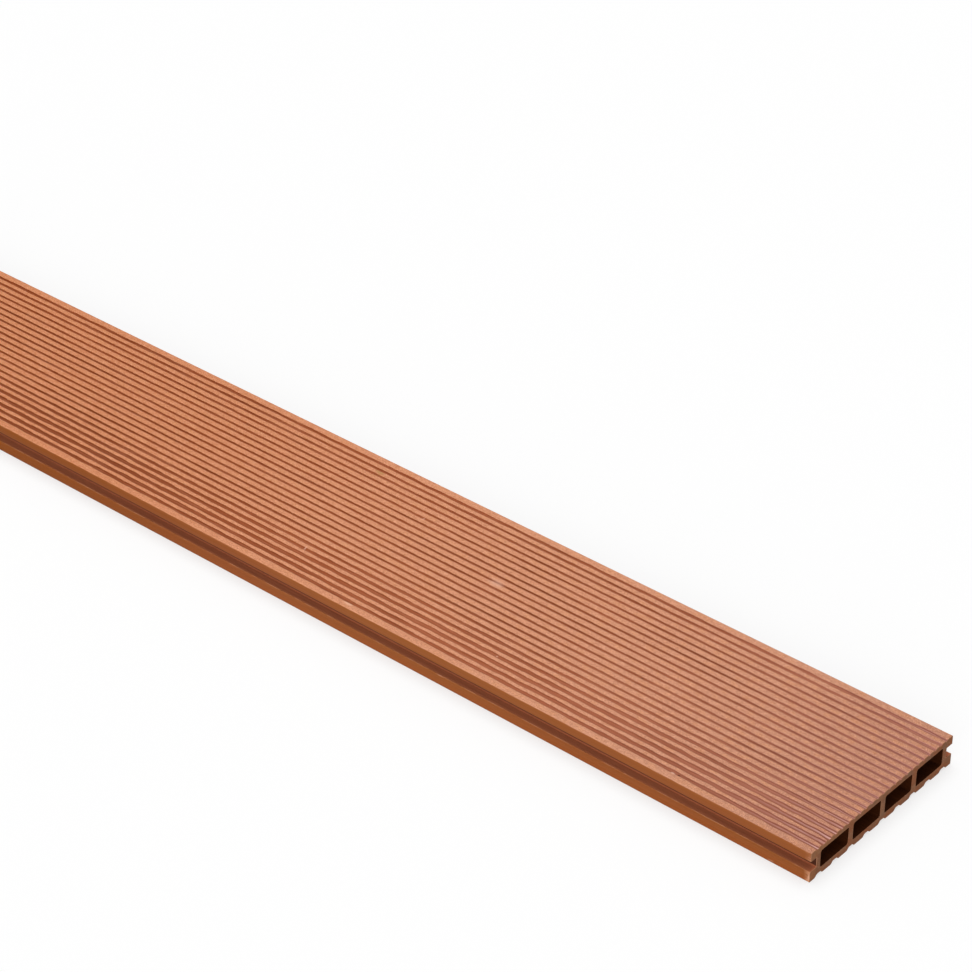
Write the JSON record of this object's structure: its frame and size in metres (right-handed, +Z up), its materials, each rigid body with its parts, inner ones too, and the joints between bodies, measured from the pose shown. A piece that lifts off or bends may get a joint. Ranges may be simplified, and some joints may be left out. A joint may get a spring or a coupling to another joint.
{
  "type": "decking board",
  "caption": "Long flat hollow decking board in brown wood-plastic composite, with a ribbed walking face, hollow chambers, a clip slot along each side and a fluted underside.",
  "frame": {"origin": "middle of the underside, at the level of the feet that the board lies on", "axes": "+X along the board's length, +Y across its width, +Z up out of the ribbed walking face"},
  "size_m": [2.2, 0.146, 0.022],
  "materials": {
    "composite": "brushed wood-plastic composite, matte",
    "label_paper": "plain paper sticker, matte"
  },
  "bodies": {
    "root": {"deck_board": "composite"}
  },
  "joints": []
}
